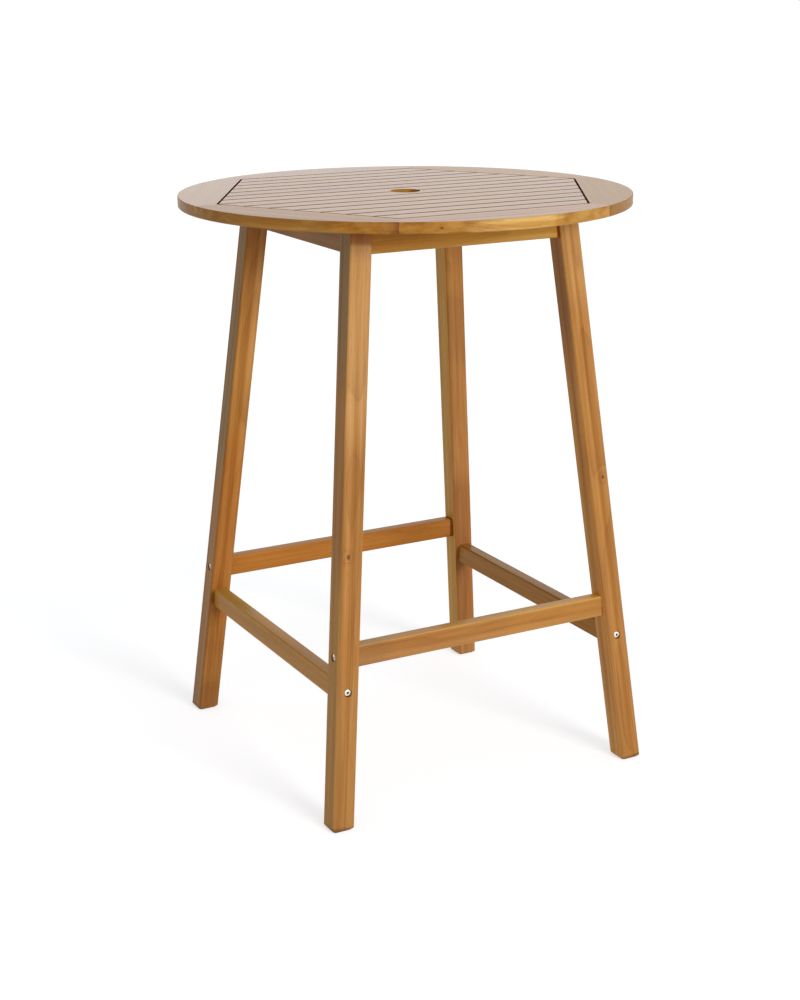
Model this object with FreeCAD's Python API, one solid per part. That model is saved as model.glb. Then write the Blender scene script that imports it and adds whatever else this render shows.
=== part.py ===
import FreeCAD, Part
import math
import os

# Round slatted bar table in hardwood, with an umbrella hole, on four splayed legs.
# Millimetres. The origin is on the floor under the middle of the top, and +Z is up.
# The slats run along X. The front is -Y and the left is -X.

# Overall sizes
table_height = 1035.0
top_diameter = 800.0
top_thickness = 19.0

# Table top: a rim of six segments round a six-sided field of slats
rim_joint_width = 39.5       # wood between a corner of the field and the outer edge
rim_rounding = 1.5           # upper outer edge of the rim
rim_bevel = 1.5              # lower outer edge
slat_board = 40.0            # the slats are sawn as near to this width as fills the field
slat_gap = 4.0
slat_rounding = 1.5
tongue_thickness = 6.0       # tongue on each slat end, and the groove that takes it
tongue_reach = 8.0
groove_depth = 9.0
groove_clearance = 0.2
spline_thickness = 5.0       # loose spline glued across each rim joint
spline_length = 36.0
spline_inset = 8.0           # wood between a spline and the outer edge
spline_wall = 5.6            # wood between a spline and the groove
umbrella_hole_diameter = 53.0

# Battens and plate under the top
batten_width = 40.0
batten_thickness = 14.0
batten_gap = 11.0            # between a batten and the corner blocks
batten_inset = 14.0          # from a batten's end to the edge of the field
batten_taper_length = 30.0
batten_taper_depth = 5.0
batten_rounding = 2.0
plate_wall = 28.5            # wood beside the umbrella hole
plate_length = 150.0
plate_rounding = 6.0

# Legs
leg_side = 41.0
leg_top_spread = 438.0       # between the outer faces of two legs at the top
leg_foot_spread = 640.0      # the same at the floor
leg_rounding = 5.0
foot_bevel = 4.0

# Aprons and stretchers
rail_thickness = 25.0
apron_height = 51.0
apron_rounding = 3.0
stretcher_height = 38.0
stretcher_rounding = 3.5
upper_stretcher_top = 317.5  # front and back stretchers
stretcher_step = 20.0        # from the upper stretchers' underside to the lower ones' top

# Corner blocks behind the legs
block_thickness = 20.0
block_margin = 5.0           # from an apron's edge to a block
block_clearance = 0.5
housing_clearance = 0.3      # round a batten in its notch in an apron

# Wood screws
screw_diameter = 3.5
screw_head_diameter = 7.0
screw_head_depth = 2.0
screw_point_diameter = 1.2
screw_cover = 6.0            # wood left above a screw that points up into the top
screw_pocket = 4.0           # depth of a screw's head in a batten, the plate or a block
top_screw_pocket = 17.0      # the same in an apron
screw_bite_share = 0.667     # of an apron's thickness, taken by a block's screw
screw_edge = 15.0            # from a screw to the edge of the piece that it holds
pilot_clearance = 0.1

# Stretcher bolts and their barrel nuts
bolt_diameter = 6.0
bolt_head_diameter = 12.0
bolt_head_length = 5.0
bolt_socket_width = 5.0      # across the flats of the hexagon socket
bolt_socket_depth = 3.0
bolt_recess = 1.5            # from the leg's face down to the head
bolt_counterbore_clearance = 1.0
bolt_clearance = 0.3
bolt_rise = 2.0              # bolts lie this much above the middle of a stretcher
bolt_past_nut = 3.0
bolt_point = 0.8
barrel_diameter = 10.0
barrel_cover = 6.0           # wood above a barrel nut
barrel_slot_width = 1.5      # screwdriver slot in its lower end
barrel_slot_depth = 2.0
barrel_setback = 25.0        # from a stretcher's end to the middle of its barrel nut

# Dowels
dowel_diameter = 8.0
dowel_wall = 1.25            # wood left in a leg between two dowels that meet at a corner
dowel_depth = 15.0           # depth in an apron's or a stretcher's end
apron_dowel_share = 0.24     # of an apron's height, from its edge to a dowel's middle
dowel_to_bolt_wall = 3.0
dowel_hole_spare = 1.0

# Hanger bolts in the corner blocks
hanger_diameter = 8.0
hanger_depth = 28.0          # length in the leg
hanger_past_nut = 5.0
washer_diameter = 20.0
washer_thickness = 1.6
nut_width = 13.0             # across the flats
nut_height = 6.5

overrun = 5.0                # how far a cutting shape runs past the wood

# Sizes that follow from the ones above
rim_radius = top_diameter / 2
underside = table_height - top_thickness
rim_sides = 6
hidden_round_sides = 8      # flat sides of dowels, screws and holes that stay out of sight
half_side_angle = math.pi / rim_sides
field_corner = rim_radius - rim_joint_width
field_half = field_corner * math.cos(half_side_angle)
slat_pairs = max(1, round((2 * field_half - slat_gap) / (2 * (slat_board + slat_gap))))
slat_count = 2 * slat_pairs
slat_width = (2 * field_half - slat_gap * (slat_count + 1)) / slat_count
slat_pitch = slat_width + slat_gap
mid_top = table_height - top_thickness / 2
hole_radius = umbrella_hole_diameter / 2
plate_width = umbrella_hole_diameter + 2 * plate_wall
apron_bottom = underside - apron_height
apron_middle = underside - apron_height / 2
block_height = apron_height - 2 * block_margin
barrel_length = 2 * (stretcher_height / 2 - bolt_rise - barrel_cover)
screw_tip = table_height - screw_cover
screw_head_level = underside - batten_thickness + screw_pocket
batten_screw_length = screw_tip - screw_head_level
top_screw_level = apron_bottom + top_screw_pocket
top_screw_length = screw_tip - top_screw_level
lower_stretcher_top = upper_stretcher_top - stretcher_height - stretcher_step
dowel_radius = dowel_diameter / 2
leg_dowel_depth = leg_side / 2 - dowel_radius - dowel_wall

V = FreeCAD.Vector
UP = V(0, 0, 1)
parts = {}


def leg_outer(z):
    """Distance from the middle plane to a leg's outer face at height z."""
    foot = leg_foot_spread / 2
    return foot + (leg_top_spread / 2 - foot) * z / underside


def leg_inner(z):
    """Distance from the middle plane to a leg's inner face at height z."""
    return leg_outer(z) - leg_side


def leg_middle(z):
    """Distance from the middle plane to a leg's centre at height z."""
    return leg_outer(z) - leg_side / 2


def prism(points, along):
    """Solid with the given flat outline, carried along a vector."""
    return Part.Face(Part.makePolygon(points + points[:1])).extrude(along)


def bar(low, high):
    """Square-edged bar between two corners."""
    size = high.sub(low)
    return Part.makeBox(size.x, size.y, size.z, low)


def rod(start, direction, length, radius):
    """Plain round rod or the drill that makes its hole."""
    return Part.makeCylinder(radius, length, start, direction)


def hidden_round(profile, start, direction):
    """Tapered round work that stays out of sight, with few flat sides.

    The profile lists (distance from start, radius).
    """
    turns = [2 * math.pi * (k + 0.5) / hidden_round_sides for k in range(hidden_round_sides)]
    rings = []
    for along, radius in profile:
        rings.append([V(radius * math.cos(a), radius * math.sin(a), along) for a in turns])
    outlines = [rings[0], rings[-1]]
    for near, far in zip(rings, rings[1:]):
        outlines += [[near[k - 1], near[k], far[k], far[k - 1]] for k in range(hidden_round_sides)]
    faces = [Part.Face(Part.makePolygon(outline + outline[:1])) for outline in outlines]
    shell = Part.makeShell(faces)
    shell.sewShape()
    solid = Part.makeSolid(shell)
    if solid.Volume < 0:
        solid.reverse()
    solid.Placement = FreeCAD.Placement(start, FreeCAD.Rotation(UP, direction))
    return solid


def hidden_rod(start, direction, length, radius):
    """Straight rod or hole that stays out of sight, with few flat sides."""
    return hidden_round([(0, radius), (length, radius)], start, direction)


def hexagon_prism(width, start, direction, length):
    """Hexagonal bar measured across its flats, for sockets and nuts."""
    reach = width / 2 / math.cos(half_side_angle)
    turns = [2 * half_side_angle * k for k in range(rim_sides)]
    solid = prism([V(reach * math.cos(a), reach * math.sin(a), 0) for a in turns], UP * length)
    solid.Placement = FreeCAD.Placement(start, FreeCAD.Rotation(UP, direction))
    return solid


def field_prism(apothem, low, high):
    """Six-sided prism with two sides along the slats."""
    reach = apothem / math.cos(half_side_angle)
    turns = [2 * half_side_angle * k for k in range(rim_sides)]
    outline = [V(reach * math.cos(a), reach * math.sin(a), low) for a in turns]
    return prism(outline, UP * (high - low))


def eased(solid, direction, radius, wanted=lambda middle: True):
    """Round the straight edges that run along a direction, where wanted(middle) holds."""
    edges = []
    for edge in solid.Edges:
        first, last = edge.Vertexes[0].Point, edge.Vertexes[-1].Point
        line = last.sub(first)
        if line.Length > 0 and line.cross(direction).Length < line.Length / 1000:
            if wanted((first + last) / 2):
                edges.append(edge)
    return solid.makeFillet(radius, edges)


def cut(solid, tools):
    """Take all the tools away from a solid."""
    return solid.cut(tools) if tools else solid


def add(node, solids):
    """Keep one solid, or a group of like solids, under a node's name."""
    parts[node] = Part.makeCompound(solids) if isinstance(solids, list) else solids


# Screws, used both as the pieces and as the drills for their holes

def screw_profile(length, clearance):
    """Countersunk head, then a shank that tapers to a blunt point."""
    shank = screw_diameter / 2 + clearance
    head = screw_head_diameter / 2 + clearance
    point = screw_point_diameter / 2 + clearance
    return [(0, head), (screw_head_depth, shank), (length + clearance, point)]


def screw(head, direction, length):
    """Countersunk wood screw whose flat head starts at a point."""
    return hidden_round(screw_profile(length, 0), head, direction)


def screw_drill(head, direction, length):
    """Hole for a screw, with the pocket that lets its head in."""
    hole = screw_profile(length, pilot_clearance)
    pocket = (-overrun - length, hole[0][1])
    return hidden_round([pocket] + hole, head, direction)


def slat_middle(index):
    """Place of a slat's middle line, counted from the front."""
    return -field_half + slat_gap + slat_width / 2 + index * slat_pitch


apron_line = leg_middle(apron_middle)
apron_face = apron_line - rail_thickness / 2
block_outer = leg_inner(apron_middle + block_height / 2) * math.sqrt(2) - block_clearance
block_inner = block_outer - block_thickness
block_reach = block_inner * math.sqrt(2) - apron_face
batten_middle = block_reach - batten_gap - batten_width / 2
batten_places = [-batten_middle, batten_middle]
batten_corner = (field_corner - batten_middle - batten_width / 2) / math.tan(half_side_angle)
batten_half_length = min(field_half, batten_corner) - batten_inset

slat_rows = [slat_middle(k) for k in range(slat_count)]
batten_rows = [y for y in slat_rows if abs(y) < batten_half_length]
batten_screw_heads = [V(x, y, screw_head_level) for x in batten_places for y in batten_rows]

plate_reach = plate_width / 2 - screw_edge
plate_rows = [y for y in slat_rows if abs(y) < (plate_length - screw_edge) / 2]
plate_places = [-plate_reach, plate_reach]
plate_screw_heads = [V(x, y, screw_head_level) for x in plate_places for y in plate_rows]

apron_slat = slat_middle(slat_count // 2 + round(apron_line / 2 / slat_pitch))
top_screw_heads = []
for side in (-1, 1):
    for end in (-1, 1):
        top_screw_heads.append(V(end * batten_middle / 2, side * apron_line, top_screw_level))
        top_screw_heads.append(V(side * apron_line, end * apron_slat, top_screw_level))

board_screw_heads = batten_screw_heads + plate_screw_heads
upward_drills = [screw_drill(head, UP, batten_screw_length) for head in board_screw_heads]
upward_drills += [screw_drill(head, UP, top_screw_length) for head in top_screw_heads]


def drills_near(solid, drills):
    """Those drills whose box meets the solid's box."""
    return [drill for drill in drills if solid.BoundBox.intersect(drill.BoundBox)]


# Table top

def spline_box(clearance):
    """Loose spline across the rim joint that lies on +X, or its mortise."""
    far = rim_radius - spline_inset + clearance
    near = (field_half + groove_depth) / math.cos(half_side_angle) + spline_wall - clearance
    half_length = spline_length / 2 + clearance
    half_thickness = spline_thickness / 2 + clearance
    low = V(near, -half_length, mid_top - half_thickness)
    high = V(far, half_length, mid_top + half_thickness)
    return bar(low, high)


def turned_about_z(solid, angle):
    """Copy of a solid, turned about the table's axis by an angle in radians."""
    copy = solid.copy()
    copy.rotate(V(0, 0, 0), UP, math.degrees(angle))
    return copy


def rim_profile_face():
    """Half section of the top, its outer edge rounded above and bevelled below."""
    bend = rim_rounding * (1 - math.sqrt(0.5))
    low, high = V(rim_radius, 0, underside), V(rim_radius, 0, table_height)
    arc_start, arc_end = high - V(0, 0, rim_rounding), high - V(rim_rounding, 0, 0)
    arc = Part.Arc(arc_start, high + V(-bend, 0, -bend), arc_end).toShape()
    bevel_start, bevel_end = low - V(rim_bevel, 0, 0), low + V(0, 0, rim_bevel)
    axis_points = [V(0, 0, table_height), V(0, 0, underside)]
    straight = Part.makePolygon([arc_end] + axis_points + [bevel_start, bevel_end, arc_start])
    return Part.Face(Part.Wire(straight.Edges + [arc]))


def rim_segment(index):
    """One rim piece between two corners of the field, grooved where slats end on it."""
    start = 2 * half_side_angle * index
    along_slats = index % 3 == 1
    profile = turned_about_z(rim_profile_face(), start)
    wedge = profile.revolve(V(0, 0, 0), UP, math.degrees(2 * half_side_angle))
    solid = wedge.cut(field_prism(field_half, underside - overrun, table_height + overrun))
    mortise = spline_box(groove_clearance)
    tools = [turned_about_z(mortise, start), turned_about_z(mortise, start + 2 * half_side_angle)]
    if not along_slats:
        half_groove = tongue_thickness / 2 + groove_clearance
        tools.append(field_prism(field_half + groove_depth, mid_top - half_groove, mid_top + half_groove))
    return cut(solid, tools)


def slat(index):
    """One slat, mitred to the rim at its ends, with a tongue on each end."""
    middle = slat_middle(index)
    low, high = middle - slat_width / 2, middle + slat_width / 2
    half = slat_width / 2 - slat_rounding
    length = rim_radius
    board = bar(V(-length, low, underside), V(length, high, table_height))
    board = eased(board, V(1, 0, 0), slat_rounding, lambda point: point.z > mid_top)
    body = board.common(field_prism(field_half - slat_gap, underside - overrun, table_height + overrun))
    half_tongue = tongue_thickness / 2
    strip_low = V(-length, middle - half, mid_top - half_tongue)
    strip_high = V(length, middle + half, mid_top + half_tongue)
    strip = bar(strip_low, strip_high)
    tongue = strip.common(field_prism(field_half + tongue_reach, underside, table_height))
    solid = body.fuse(tongue).removeSplitter()
    tools = drills_near(solid, upward_drills)
    if abs(middle) < hole_radius + slat_width / 2:
        tools.append(rod(V(0, 0, underside - overrun), UP, top_thickness + 2 * overrun, hole_radius))
    return cut(solid, tools)


def batten(place):
    """Batten across the slats, tapered below at its ends so that it stays out of sight."""
    floor = underside - batten_thickness
    taper = floor + batten_taper_depth
    full = batten_half_length - batten_taper_length
    end = batten_half_length
    left = place - batten_width / 2
    left_half = [(-end, underside), (-end, taper), (-full, floor)]
    outline = left_half + [(-y, z) for y, z in reversed(left_half)]
    solid = prism([V(left, y, z) for y, z in outline], V(batten_width, 0, 0))
    solid = eased(solid, V(0, 1, 0), batten_rounding, lambda point: point.z < taper)
    return cut(solid, drills_near(solid, upward_drills))


def umbrella_plate():
    """Plate under the slats that rings the umbrella hole."""
    half_x, half_y = plate_width / 2, plate_length / 2
    floor = underside - batten_thickness
    solid = bar(V(-half_x, -half_y, floor), V(half_x, half_y, underside))
    solid = eased(solid, UP, plate_rounding)
    hole = rod(V(0, 0, floor - overrun), UP, batten_thickness + 2 * overrun, hole_radius)
    return cut(solid, [hole] + drills_near(solid, upward_drills))


# Frame. Each rail is drawn along X at the front and turned into its place.

def rail(top, height, rounding, ease_top):
    """Front rail between two legs, with its ends cut to the legs' slope."""
    bottom = top - height
    line = -leg_middle(top - height / 2)
    outline = [
        (-leg_inner(bottom), bottom),
        (leg_inner(bottom), bottom),
        (leg_inner(top), top),
        (-leg_inner(top), top),
    ]
    start = line - rail_thickness / 2
    solid = prism([V(x, start, z) for x, z in outline], V(0, rail_thickness, 0))
    middle = top - height / 2
    return eased(solid, V(1, 0, 0), rounding, lambda point: ease_top or point.z < middle)


def dowel(face, direction, out_depth, in_depth, clearance=0.0):
    """Dowel through a joint face, out_depth against the direction and in_depth along it."""
    start = face - direction * out_depth
    length = out_depth + in_depth
    if clearance:
        start = start - direction * dowel_hole_spare
        length += 2 * dowel_hole_spare
    return hidden_rod(start, direction, length, dowel_radius + clearance)


def apron_dowels(clearance=0.0):
    """The four dowels of the front apron, two at each end."""
    pieces = []
    edge = apron_height * apron_dowel_share
    for z in (apron_bottom + edge, underside - edge):
        for end in (-1, 1):
            face = V(end * leg_inner(z), -apron_line, z)
            pieces.append(dowel(face, V(end, 0, 0), dowel_depth, leg_dowel_depth, clearance))
    return pieces


def stretcher_levels(top):
    """Heights of the bolts and of the dowels of the stretcher with this top."""
    bolt_level = top - stretcher_height / 2 + bolt_rise
    dowel_level = bolt_level - bolt_diameter / 2 - dowel_to_bolt_wall - dowel_radius
    return bolt_level, dowel_level


def stretcher_dowels(top, clearance=0.0):
    """The two dowels of the front stretcher, one at each end."""
    bolt_level, z = stretcher_levels(top)
    line = -leg_middle(top - stretcher_height / 2)
    return [dowel(V(end * leg_inner(z), line, z), V(end, 0, 0), dowel_depth, leg_dowel_depth, clearance)
            for end in (-1, 1)]


def bolt_places(top):
    """Head point and inward direction of the front stretcher's two bolts."""
    z, dowel_level = stretcher_levels(top)
    line = -leg_middle(top - stretcher_height / 2)
    start = leg_outer(z) - bolt_recess
    return [(V(end * start, line, z), V(-end, 0, 0)) for end in (-1, 1)]


bolt_length = leg_side - bolt_recess + barrel_setback + barrel_diameter / 2 + bolt_past_nut


def bolt(head, direction):
    """Socket-headed bolt, head first along the direction."""
    radius = bolt_diameter / 2
    shank_profile = [(0, radius), (bolt_length - bolt_point, radius), (bolt_length, radius - bolt_point)]
    shank = hidden_round(shank_profile, head, direction)
    socket_start = head - direction * overrun
    socket = hexagon_prism(bolt_socket_width, socket_start, direction, overrun + bolt_socket_depth)
    return rod(head, direction, bolt_head_length, bolt_head_diameter / 2).fuse(shank).cut(socket)


def bolt_drill(head, direction):
    """Hole for a bolt, with the counterbore that its head sits in."""
    wide = bolt_head_diameter / 2 + bolt_counterbore_clearance
    counterbore = rod(head - direction * overrun, direction, overrun + bolt_head_length, wide)
    shank = hidden_rod(head, direction, bolt_length + overrun, bolt_diameter / 2 + bolt_clearance)
    return counterbore.fuse(shank)


def barrel_nut(head, direction, clearance=0.0):
    """Barrel nut upright across a bolt, or the hole that it is pushed up into from below."""
    middle = head + direction * (leg_side - bolt_recess + barrel_setback)
    half = barrel_length / 2
    radius = barrel_diameter / 2 + clearance
    if clearance:
        return rod(middle + UP * half, -UP, stretcher_height + overrun, radius)
    through = hidden_rod(head, direction, bolt_length + overrun, bolt_diameter / 2 + pilot_clearance)
    slot_corner = V(radius, barrel_slot_width / 2, half)
    slot = bar(middle - slot_corner - UP * overrun, middle + slot_corner - UP * (2 * half - barrel_slot_depth))
    return rod(middle - UP * half, UP, barrel_length, radius).cut([through, slot])


def stretcher(top):
    """Front stretcher with its bolt, barrel nut and dowel holes."""
    solid = rail(top, stretcher_height, stretcher_rounding, True)
    tools = stretcher_dowels(top, pilot_clearance)
    for head, direction in bolt_places(top):
        tools.append(bolt_drill(head, direction))
        tools.append(barrel_nut(head, direction, pilot_clearance))
    return cut(solid, tools)


def quarter_turns(solids, turns):
    """Copies of solids, turned about the table's axis by whole quarter turns."""
    copies = []
    for turn in turns:
        copies += [turned_about_z(solid, turn * math.pi / 2) for solid in solids]
    return copies


def block_screw_places():
    """Head point and direction of the two screws of the front left corner block."""
    along = block_outer * math.sqrt(2) - block_thickness * math.sqrt(0.5) - apron_face
    start = block_inner * math.sqrt(2) - along + screw_pocket
    side_screw = (V(-start, -along, apron_middle), V(-1, 0, 0))
    front_screw = (V(-along, -start, apron_middle), V(0, -1, 0))
    return [side_screw, front_screw]


def block_screw_length():
    """Length of a block's screw, from its head to its point in the apron."""
    return apron_face + rail_thickness * screw_bite_share + block_screw_places()[0][0].x


def hanger_level_point(distance):
    """Point on the front left diagonal, on the hanger bolt's line."""
    return V(-distance, -distance, 0) * math.sqrt(0.5) + V(0, 0, apron_middle)


toward_axis = V(1, 1, 0) * math.sqrt(0.5)


def hanger_start():
    """End of the hanger bolt that is screwed into the front left leg."""
    return hanger_level_point(leg_inner(apron_middle) * math.sqrt(2) + hanger_depth)


def hanger_length():
    """Length of the hanger bolt, from the leg to past its nut."""
    inner_end = block_inner - washer_thickness - nut_height - hanger_past_nut
    return leg_inner(apron_middle) * math.sqrt(2) + hanger_depth - inner_end


def hanger_bolt():
    """Hanger bolt of the front left leg, pointed where it bites into the leg."""
    radius = hanger_diameter / 2
    profile = [(0, radius / 2), (radius, radius), (hanger_length(), radius)]
    return hidden_round(profile, hanger_start(), toward_axis)


def hanger_drill(clearance):
    """Hole for the hanger bolt."""
    start = hanger_start() - toward_axis * clearance
    return rod(start, toward_axis, hanger_length() + overrun, hanger_diameter / 2 + clearance)


def hanger_washer():
    """Washer on the inner face of the front left corner block."""
    face = hanger_level_point(block_inner)
    disc = hidden_rod(face, toward_axis, washer_thickness, washer_diameter / 2)
    return disc.cut(hanger_drill(bolt_clearance))


def hanger_nut():
    """Hexagon nut on the front left washer."""
    face = hanger_level_point(block_inner - washer_thickness)
    return hexagon_prism(nut_width, face, toward_axis, nut_height).cut(hanger_drill(pilot_clearance))


def corner_block():
    """Front left corner block, its ends flat against the two aprons."""
    outer = block_outer * math.sqrt(2) - apron_face
    floor = apron_middle - block_height / 2
    half_outline = [(apron_face, outer), (apron_face, block_reach)]
    outline = half_outline + [(y, x) for x, y in reversed(half_outline)]
    solid = prism([V(-x, -y, floor) for x, y in outline], V(0, 0, block_height))
    drills = [screw_drill(*place, block_screw_length()) for place in block_screw_places()]
    return cut(solid, drills + [hanger_drill(bolt_clearance)])


def apron(notched):
    """Front apron, or a side one drawn in the same place. The front and back ones are notched."""
    solid = rail(underside, apron_height, apron_rounding, False)
    tools = apron_dowels(pilot_clearance)
    if notched:
        reach = batten_width / 2 + housing_clearance
        for place in batten_places:
            low = V(place - reach, -apron_line - rail_thickness, underside - batten_thickness)
            high = V(place + reach, -apron_line + rail_thickness, underside + overrun)
            tools.append(bar(low, high))
    block_drills = [screw_drill(*place, block_screw_length()) for place in block_screw_places()]
    tools += drills_near(solid, quarter_turns(block_drills, (0, 1)))
    return cut(solid, tools)


def rounded_square(x, y, z, side, radius):
    """Square wire with rounded corners, centred on a point."""
    half = side / 2
    flat = half - radius
    bend = flat + radius * math.sqrt(0.5)
    centre = V(x, y, z)
    edges = []
    for quarter in range(4):
        turn = FreeCAD.Rotation(UP, 90 * quarter)
        side_start, side_end = V(half, -flat, 0), V(half, flat, 0)
        corner = [side_end, V(bend, bend, 0), V(flat, half, 0)]
        edges.append(Part.makeLine(centre + turn * side_start, centre + turn * side_end))
        edges.append(Part.Arc(*[centre + turn * point for point in corner]).toShape())
    return Part.Wire(edges)


def leg():
    """Front left leg: a square post that leans out both ways, bevelled round its foot."""
    ankle = -leg_middle(foot_bevel)
    sole = -leg_middle(0)
    head = -leg_middle(underside)
    shaft_wire = rounded_square(ankle, ankle, foot_bevel, leg_side, leg_rounding)
    sole_wire = rounded_square(sole, sole, 0, leg_side - 2 * foot_bevel, leg_rounding)
    shaft = Part.Face(shaft_wire).extrude(V(head - ankle, head - ankle, underside - foot_bevel))
    foot = Part.makeLoft([sole_wire, shaft_wire], True, True)
    solid = shaft.fuse(foot).removeSplitter()
    tools = apron_dowels(pilot_clearance) + stretcher_dowels(upper_stretcher_top, pilot_clearance)
    tools += [bolt_drill(*place) for place in bolt_places(upper_stretcher_top)]
    side_tools = apron_dowels(pilot_clearance) + stretcher_dowels(lower_stretcher_top, pilot_clearance)
    side_tools += [bolt_drill(*place) for place in bolt_places(lower_stretcher_top)]
    tools += quarter_turns(side_tools, [3])
    tools.append(hanger_drill(pilot_clearance))
    return cut(solid, drills_near(solid, tools))


def build_top():
    """Rim, slats, splines, battens and plate."""
    for index in range(rim_sides):
        add(f"rim_segment_{index + 1}", rim_segment(index))
    for index in range(slat_count):
        add(f"slat_{index + 1:02d}", slat(index))
    joints = [2 * half_side_angle * k for k in range(rim_sides)]
    add("rim_splines", [turned_about_z(spline_box(0), angle) for angle in joints])
    add("batten_left", batten(batten_places[0]))
    add("batten_right", batten(batten_places[1]))
    add("umbrella_plate", umbrella_plate())


def build_frame():
    """Aprons, legs, stretchers and corner blocks."""
    for turn, name in enumerate(("front", "right", "back", "left")):
        along_x = turn % 2 == 0
        solid = turned_about_z(apron(along_x), turn * math.pi / 2)
        add(f"apron_{name}", cut(solid, drills_near(solid, upward_drills)))
        top = upper_stretcher_top if along_x else lower_stretcher_top
        add(f"stretcher_{name}", turned_about_z(stretcher(top), turn * math.pi / 2))
    build_corners()


def build_corners():
    """Legs and corner blocks. The drilling is mirrored from corner to corner, not turned."""
    post, block = leg(), corner_block()
    mirror_x = V(1, 0, 0)
    mirror_y = V(0, 1, 0)
    corners = {
        "front_left": [],
        "front_right": [mirror_x],
        "back_left": [mirror_y],
        "back_right": [mirror_x, mirror_y],
    }
    for name, mirrors in corners.items():
        leg_copy, block_copy = post, block
        for normal in mirrors:
            leg_copy = leg_copy.mirror(V(0, 0, 0), normal)
            block_copy = block_copy.mirror(V(0, 0, 0), normal)
        add(f"leg_{name}", leg_copy)
        add(f"corner_block_{name}", block_copy)


def build_hardware():
    """Screws, bolts, nuts, washers and dowels, each kind as one group."""
    add("batten_screws", [screw(head, UP, batten_screw_length) for head in batten_screw_heads])
    add("plate_screws", [screw(head, UP, batten_screw_length) for head in plate_screw_heads])
    add("top_screws", [screw(head, UP, top_screw_length) for head in top_screw_heads])
    block_screws = [screw(*place, block_screw_length()) for place in block_screw_places()]
    add("block_screws", quarter_turns(block_screws, range(4)))
    add("hanger_bolts", quarter_turns([hanger_bolt()], range(4)))
    add("hanger_washers", quarter_turns([hanger_washer()], range(4)))
    add("hanger_nuts", quarter_turns([hanger_nut()], range(4)))
    bolts, nuts, dowels = [], [], []
    for top, turns in ((upper_stretcher_top, (0, 2)), (lower_stretcher_top, (1, 3))):
        bolts += quarter_turns([bolt(*place) for place in bolt_places(top)], turns)
        nuts += quarter_turns([barrel_nut(*place) for place in bolt_places(top)], turns)
        dowels += quarter_turns(stretcher_dowels(top), turns)
    add("stretcher_bolts", bolts)
    add("barrel_nuts", nuts)
    add("stretcher_dowels", dowels)
    add("apron_dowels", quarter_turns(apron_dowels(), range(4)))


build_top()
build_frame()
build_hardware()

os.makedirs("parts", exist_ok=True)
for node, shape in parts.items():
    shape.exportStep(f"parts/{node}.step")
    print(node, len(shape.Solids), "solid(s)", "valid" if shape.isValid() else "NOT VALID")
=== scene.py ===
"""Round slatted bar table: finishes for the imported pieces, finer stretcher bolts, and a studio.

Metres, in the part's own frame: the origin is on the floor under the middle of the top, +Z is up,
the slats run along X and the front is -Y.
"""

import math

import bpy
import numpy as np
from mathutils import Matrix, Vector


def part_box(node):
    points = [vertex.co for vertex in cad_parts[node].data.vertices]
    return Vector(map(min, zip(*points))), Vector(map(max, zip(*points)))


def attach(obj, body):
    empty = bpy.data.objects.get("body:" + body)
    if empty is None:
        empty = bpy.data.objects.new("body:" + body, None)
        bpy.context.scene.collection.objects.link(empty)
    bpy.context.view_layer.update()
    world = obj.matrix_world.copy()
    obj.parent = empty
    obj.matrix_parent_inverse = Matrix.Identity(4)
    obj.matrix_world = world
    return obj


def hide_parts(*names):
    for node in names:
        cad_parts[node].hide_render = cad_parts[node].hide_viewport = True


bl_info = {
    "name": "Round slatted bar table",
    "version": (1, 0, 0),
    "blender": (4, 5, 0),
    "location": "View3D > Sidebar > Bar table",
    "description": "Finishes the pieces of a round hardwood bar table and sets up its studio",
    "category": "Object",
}

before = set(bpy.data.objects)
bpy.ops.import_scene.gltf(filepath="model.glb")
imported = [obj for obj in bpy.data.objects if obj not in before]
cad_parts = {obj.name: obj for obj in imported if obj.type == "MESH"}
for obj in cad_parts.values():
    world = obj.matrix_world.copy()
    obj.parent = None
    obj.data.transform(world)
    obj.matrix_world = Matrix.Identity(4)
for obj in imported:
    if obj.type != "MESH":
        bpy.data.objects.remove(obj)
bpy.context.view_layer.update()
BODY = "root"

SLATS = sorted(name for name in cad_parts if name.startswith("slat_"))
RIM_SEGMENTS = sorted(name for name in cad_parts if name.startswith("rim_segment_"))
LEGS = sorted(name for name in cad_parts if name.startswith("leg_"))
BLOCKS = sorted(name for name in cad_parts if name.startswith("corner_block_"))
SIDES = ("front", "right", "back", "left")

ALONG_X = (1, 0, 0)
ALONG_Y = (0, 1, 0)
UP = (0, 0, 1)
DOWN = (0, 0, -1)
FRONT = (0, -1, 0)
LEFT = (-1, 0, 0)


def node_points(name):
    """The corners of a CAD node's triangles as an array of rows x, y, z."""
    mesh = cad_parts[name].data
    points = np.empty(3 * len(mesh.vertices))
    mesh.vertices.foreach_get("co", points)
    return points.reshape(-1, 3)


HOLE_RADIUS = float(np.hypot(*node_points("umbrella_plate")[:, :2].T).min())
SLAT_END_MARGIN = 0.015
FIELD_REACH = float(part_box("slat_07")[1][0]) + SLAT_END_MARGIN


# Settings


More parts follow.
